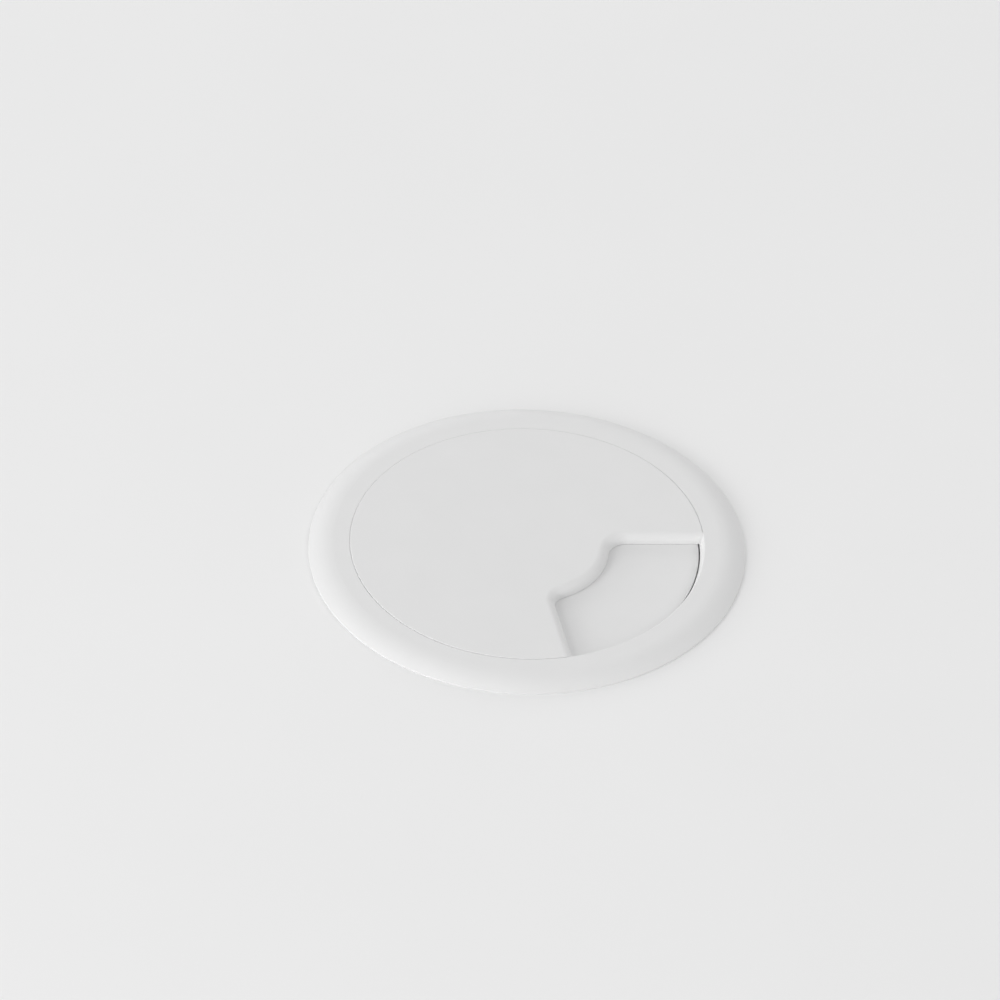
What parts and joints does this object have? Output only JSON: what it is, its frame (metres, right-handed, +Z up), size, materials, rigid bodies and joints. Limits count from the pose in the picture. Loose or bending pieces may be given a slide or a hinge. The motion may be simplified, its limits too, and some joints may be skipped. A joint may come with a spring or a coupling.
{
  "type": "desk cable grommet",
  "caption": "Round desk cable grommet: domed flange on a push-in sleeve, with a flush turning cap whose cable notch is closed from below by a shutter.",
  "frame": {"origin": "middle of the desk hole on the desk's upper surface, which is the flange's underside", "axes": "+Z up out of the desk along the sleeve; -Y is the way the cap's cable notch faces, its middle line 2.2 mm to the +X side of the axis; +X to the right seen from the notch's side"},
  "size_m": [0.09, 0.09, 0.0222],
  "materials": {
    "white_plastic": "fine satin moulded",
    "zinc_plated_steel": "bright zinc plated",
    "spring_steel": "plain spring steel"
  },
  "bodies": {
    "liner": {"liner": "white_plastic"},
    "shutter": {"shutter": "white_plastic"},
    "cap": {"cap": "white_plastic", "pivot_screw": "zinc_plated_steel", "retaining_washer": "zinc_plated_steel", "wave_washer": "spring_steel"}
  },
  "joints": [
    {"name": "cap_lift_out", "type": "slide", "parent": "liner", "child": "shutter", "axis": [0, 0, 1], "range_m": [0, 0.03]},
    {"name": "cap_turn", "type": "hinge", "parent": "shutter", "child": "cap", "pos_m": [0, 0, 0], "axis": [0, 0, 1], "continuous": true}
  ]
}
